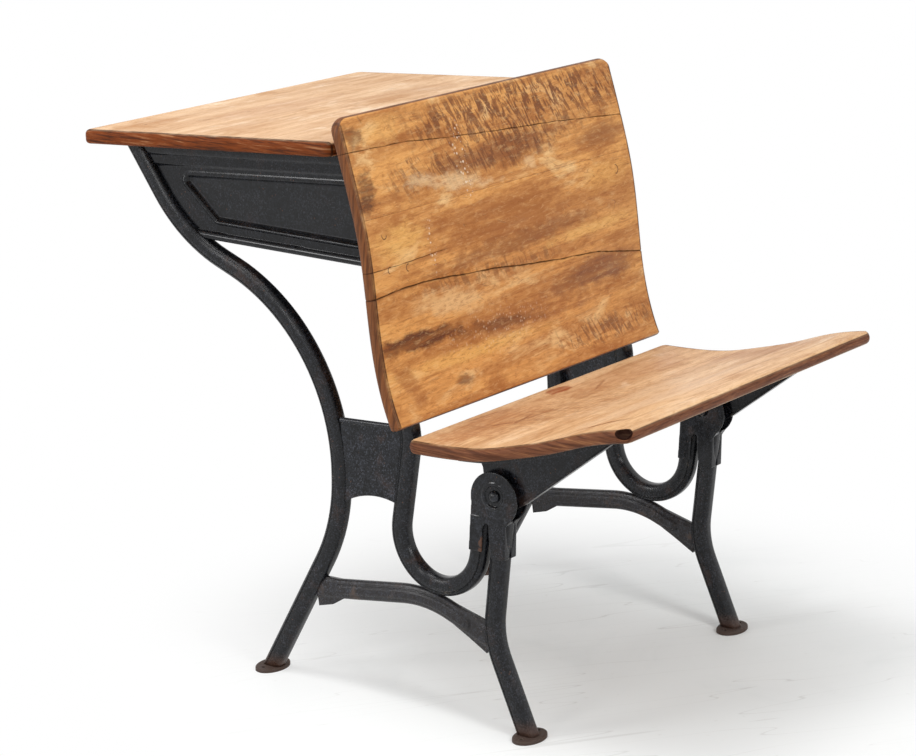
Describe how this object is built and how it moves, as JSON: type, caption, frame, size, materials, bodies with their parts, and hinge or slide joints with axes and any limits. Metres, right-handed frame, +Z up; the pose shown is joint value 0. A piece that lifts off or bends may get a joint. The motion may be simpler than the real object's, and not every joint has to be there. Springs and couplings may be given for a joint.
{
  "type": "school desk with lift lid",
  "caption": "School desk with a lifting wooden lid over a steel book box, a curved back and a fold-up seat, on bent steel tube standards.",
  "frame": {"origin": "on the floor, midway between the two standards and midway between the front of the seat and the far edge of the lid", "axes": "+Z up, +X across the desk from the left standard to the right one, -Y the way the seat faces, so the lid lies towards +Y"},
  "size_m": [0.618, 0.8717, 0.7743],
  "materials": {
    "tube_paint": "black satin paint, lightly worn",
    "stretcher_paint": "black satin paint gone brown on the rib",
    "plate_paint": "black satin paint",
    "foot_paint": "black paint with rust on the rim",
    "hinge_paint": "black satin paint with rust in the slot",
    "pivot_steel": "dark painted steel",
    "arm_paint": "black satin paint",
    "box_paint": "black matt paint on pressed sheet",
    "seat_wood": "worn light maple with darker edges",
    "back_wood": "worn golden maple with dark streaks",
    "lid_wood": "worn pale maple with red-brown edges",
    "screw_steel": "dull steel",
    "lid_hinge_steel": "dull dark steel"
  },
  "bodies": {
    "frame": {"left_desk_leg": "tube_paint", "right_desk_leg": "tube_paint", "left_back_upright": "tube_paint", "right_back_upright": "tube_paint", "left_front_leg": "tube_paint", "right_front_leg": "tube_paint", "left_stretcher": "stretcher_paint", "right_stretcher": "stretcher_paint", "left_web_plate": "plate_paint", "right_web_plate": "plate_paint", "left_front_foot": "foot_paint", "right_front_foot": "foot_paint", "left_rear_foot": "foot_paint", "right_rear_foot": "foot_paint", "left_hinge_outer_plate": "hinge_paint", "right_hinge_outer_plate": "hinge_paint", "left_hinge_inner_plate": "hinge_paint", "right_hinge_inner_plate": "hinge_paint", "left_pivot_bolt": "pivot_steel", "right_pivot_bolt": "pivot_steel", "left_pivot_nut": "pivot_steel", "right_pivot_nut": "pivot_steel", "left_back_clips": "plate_paint", "right_back_clips": "plate_paint", "left_box_side": "box_paint", "right_box_side": "box_paint", "book_box": "box_paint", "box_back_panel": "box_paint", "backrest_lower_board": "back_wood", "backrest_upper_board": "back_wood", "backrest_screws": "screw_steel", "box_leaf_screws": "screw_steel", "left_lid_hinge_fixed_leaf": "lid_hinge_steel", "right_lid_hinge_fixed_leaf": "lid_hinge_steel", "left_lid_hinge_pin": "lid_hinge_steel", "right_lid_hinge_pin": "lid_hinge_steel"},
    "seat": {"seat_board": "seat_wood", "seat_screws": "screw_steel", "left_seat_arm": "arm_paint", "right_seat_arm": "arm_paint"},
    "lid": {"desk_lid": "lid_wood", "lid_leaf_screws": "screw_steel", "left_lid_hinge_moving_leaf": "lid_hinge_steel", "right_lid_hinge_moving_leaf": "lid_hinge_steel"}
  },
  "joints": [
    {"name": "seat_fold", "type": "hinge", "parent": "frame", "child": "seat", "pos_m": [0, -0.2131, 0.315], "axis": [-1, 0, 0], "range_deg": [0, 80]},
    {"name": "lid_hinge", "type": "hinge", "parent": "frame", "child": "lid", "pos_m": [0, 0.028, 0.71752], "axis": [1, 0, 0], "range_deg": [0, 65]}
  ]
}
